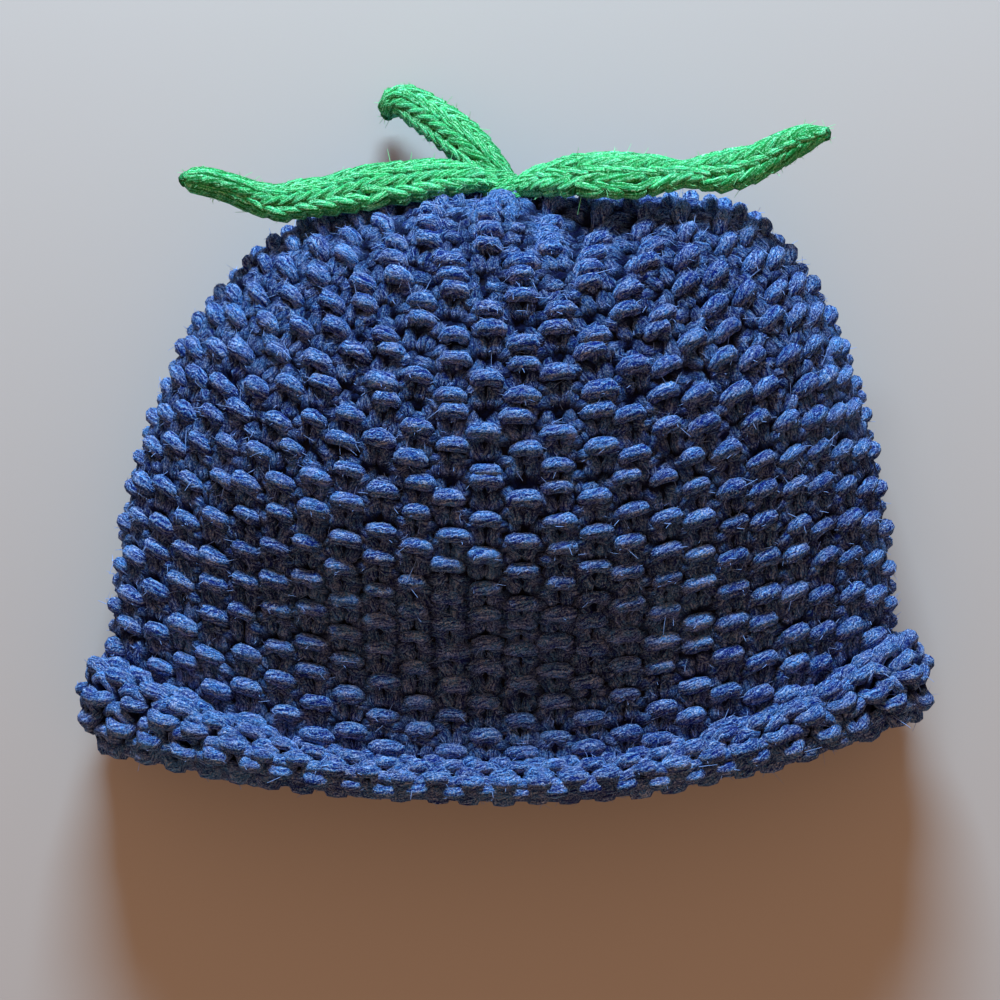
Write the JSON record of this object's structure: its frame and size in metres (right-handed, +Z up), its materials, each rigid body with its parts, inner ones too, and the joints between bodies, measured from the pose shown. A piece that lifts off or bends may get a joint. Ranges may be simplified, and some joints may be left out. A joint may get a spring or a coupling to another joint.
{
  "type": "baby's knitted hat with leaves",
  "caption": "Baby's hand-knitted berry hat in thick navy wool with a rolled brim and green knitted leaves at its tip, lying on its back as it was put down.",
  "frame": {"origin": "on the table, under the middle of the whole hat's outline", "axes": "+Z up from the table, the crown's tip and leaves towards +Y and the mouth towards -Y, +X to the wearer's side that is on the right of the picture"},
  "size_m": [0.213, 0.1788, 0.0563],
  "materials": {
    "navy_wool": "seed stitch in thick navy wool, matte",
    "green_yarn": "stocking stitch in finer green yarn, matte"
  },
  "bodies": {
    "root": {"crown": "navy_wool", "rolled_brim": "navy_wool", "leaf_left": "green_yarn", "leaf_right": "green_yarn", "leaf_back": "green_yarn"}
  },
  "joints": []
}
